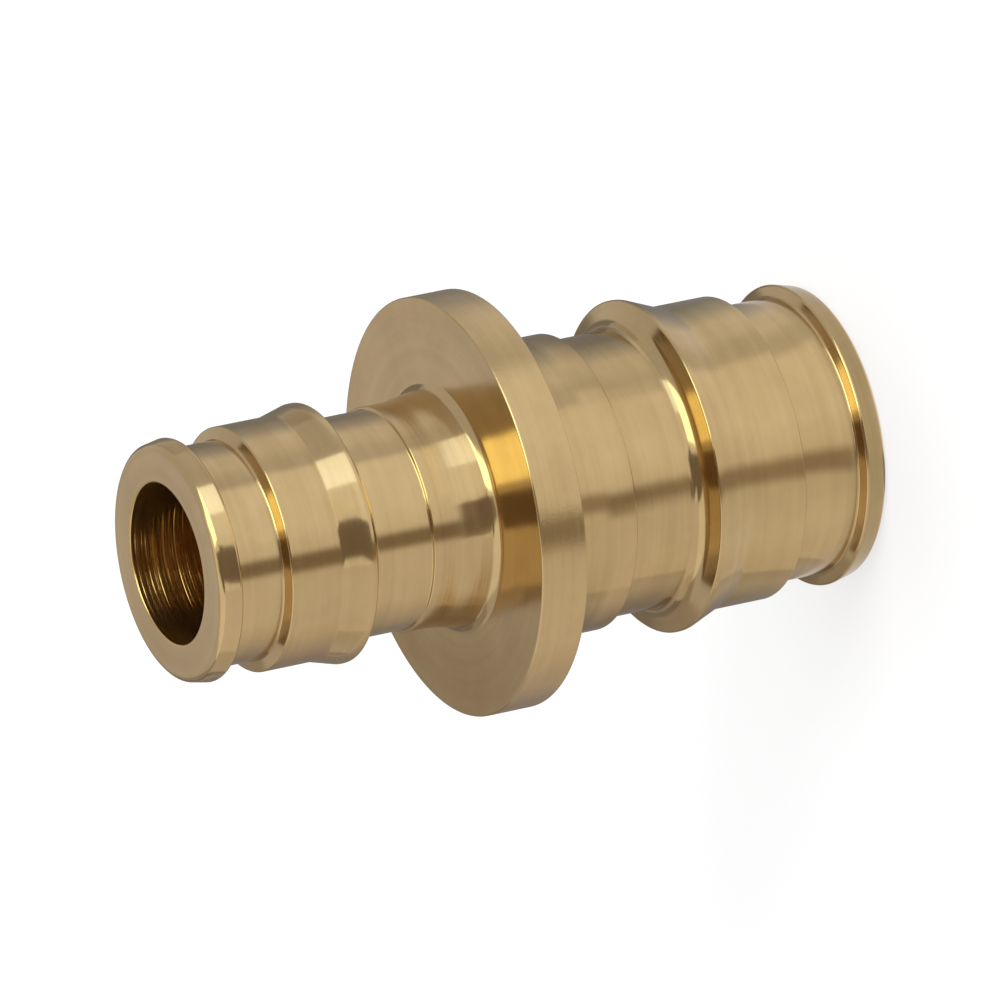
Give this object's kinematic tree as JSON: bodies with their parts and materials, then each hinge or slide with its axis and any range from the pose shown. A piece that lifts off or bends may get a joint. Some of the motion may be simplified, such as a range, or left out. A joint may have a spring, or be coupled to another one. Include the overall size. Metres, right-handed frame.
{
  "type": "reducing coupling",
  "caption": "One-piece turned brass coupling that joins two sizes of expanded plastic pipe, with a ribbed insert each side of a round stop collar.",
  "frame": {"origin": "centre of the large insert's end face, which the coupling stands on", "axes": "+Z along the bore's axis from the large insert to the small insert; X and Y are any two directions across it"},
  "size_m": [0.036, 0.0358, 0.0617],
  "materials": {
    "brass": "satin machined brass with fine turning marks"
  },
  "bodies": {
    "root": {"coupling_body": "brass"}
  },
  "joints": []
}
